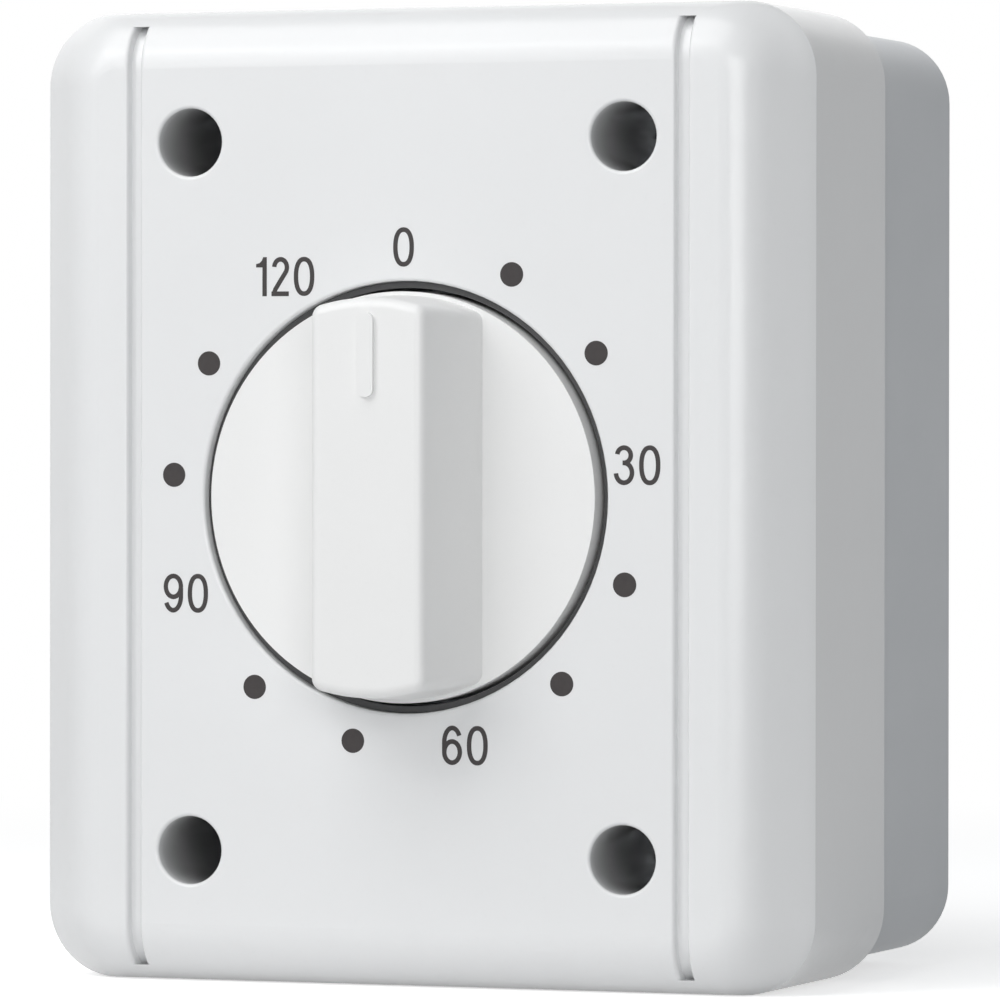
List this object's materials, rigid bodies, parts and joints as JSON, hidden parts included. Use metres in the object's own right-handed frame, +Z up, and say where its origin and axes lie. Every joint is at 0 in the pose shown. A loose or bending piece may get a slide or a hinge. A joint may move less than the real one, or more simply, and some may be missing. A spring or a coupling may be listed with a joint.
{
  "type": "timer switch",
  "caption": "Surface-mounted splash-proof clockwork timer switch: deep rounded housing, round dial knob with a straight grip bar, recessed cover screws and cable entries.",
  "frame": {"origin": "on the wall, in the middle of the back face and on the knob's axis", "axes": "+X to the right seen from the front, +Y into the wall, +Z up"},
  "size_m": [0.0662, 0.0521, 0.0788],
  "materials": {
    "cover_plastic": "glossy white moulded thermoplastic",
    "box_plastic": "semi-gloss white moulded thermoplastic",
    "knob_plastic": "glossy white moulded thermoplastic",
    "gasket_rubber": "soft black sealing rubber",
    "grommet_rubber": "matt pale grey rubber",
    "seal_rubber": "dark sealing ring",
    "plated_steel": "zinc-plated steel",
    "turned_steel": "turned steel",
    "spring_steel": "blued spring steel",
    "sheet_steel": "pressed zinc-plated sheet",
    "lever_steel": "pressed steel",
    "plate_brass": "rolled brass sheet",
    "wheel_brass": "stamped brass",
    "turned_brass": "turned brass",
    "terminal_brass": "sawn brass bar",
    "contact_bronze": "rolled bronze strip with silver contact",
    "cam_plastic": "matt dark moulded plastic",
    "base_plastic": "matt black moulded thermoset"
  },
  "bodies": {
    "housing": {"front_cover": "cover_plastic", "rear_box": "box_plastic", "cover_gasket": "gasket_rubber", "top_grommet": "grommet_rubber", "bottom_grommet": "grommet_rubber", "cover_screws": "plated_steel", "knob_seal": "seal_rubber", "support_plate": "sheet_steel", "plate_screws": "plated_steel", "rear_plate": "plate_brass", "front_plate": "plate_brass", "pillars": "turned_brass", "pillar_screws": "plated_steel", "mainspring": "spring_steel", "spring_post": "turned_steel", "moving_contact": "contact_bronze", "fixed_contact": "contact_bronze", "neutral_link": "contact_bronze", "switch_base": "base_plastic", "base_rivets": "turned_brass", "terminal_blocks": "terminal_brass", "terminal_screws": "plated_steel"},
    "knob_body": {"knob": "knob_plastic", "knob_clip": "spring_steel", "main_spindle": "turned_steel", "spindle_clip": "spring_steel", "clutch_washer": "spring_steel", "clutch_ring": "spring_steel", "cam_disc": "cam_plastic"},
    "great_shaft": {"great_wheel": "wheel_brass"},
    "second_shaft": {"second_arbor": "turned_steel", "second_wheel": "wheel_brass"},
    "third_shaft": {"third_arbor": "turned_steel", "third_wheel": "wheel_brass"},
    "escape_shaft": {"escape_arbor": "turned_steel", "escape_wheel": "wheel_brass"},
    "pallet": {"pallet_arbor": "turned_steel", "pallet_lever": "lever_steel"}
  },
  "joints": [
    {"name": "knob_turn", "type": "hinge", "parent": "housing", "child": "knob_body", "pos_m": [0, 0, 0], "axis": [0, 1, 0], "range_deg": [0, 330], "deforming": ["moving_contact", "mainspring"]},
    {"name": "great_turn", "type": "hinge", "parent": "housing", "child": "great_shaft", "pos_m": [0, 0, 0], "axis": [0, 1, 0], "continuous": true},
    {"name": "second_turn", "type": "hinge", "parent": "housing", "child": "second_shaft", "pos_m": [0.00311, 0, 0.01159], "axis": [0, 1, 0], "continuous": true},
    {"name": "third_turn", "type": "hinge", "parent": "housing", "child": "third_shaft", "pos_m": [-0.00655, 0, 0.00989], "axis": [0, 1, 0], "continuous": true},
    {"name": "escape_turn", "type": "hinge", "parent": "housing", "child": "escape_shaft", "pos_m": [-0.01244, 0, 0.00576], "axis": [0, 1, 0], "continuous": true},
    {"name": "pallet_rock", "type": "hinge", "parent": "housing", "child": "pallet", "pos_m": [-0.01292, 0, 0.00036], "axis": [0, 1, 0], "range_deg": [-3, 3]}
  ],
  "couplings": [
    {"joint": "third_turn", "follows": "escape_turn", "ratio": -0.2},
    {"joint": "second_turn", "follows": "escape_turn", "ratio": 0.033333},
    {"joint": "great_turn", "follows": "escape_turn", "ratio": -0.0066667}
  ]
}
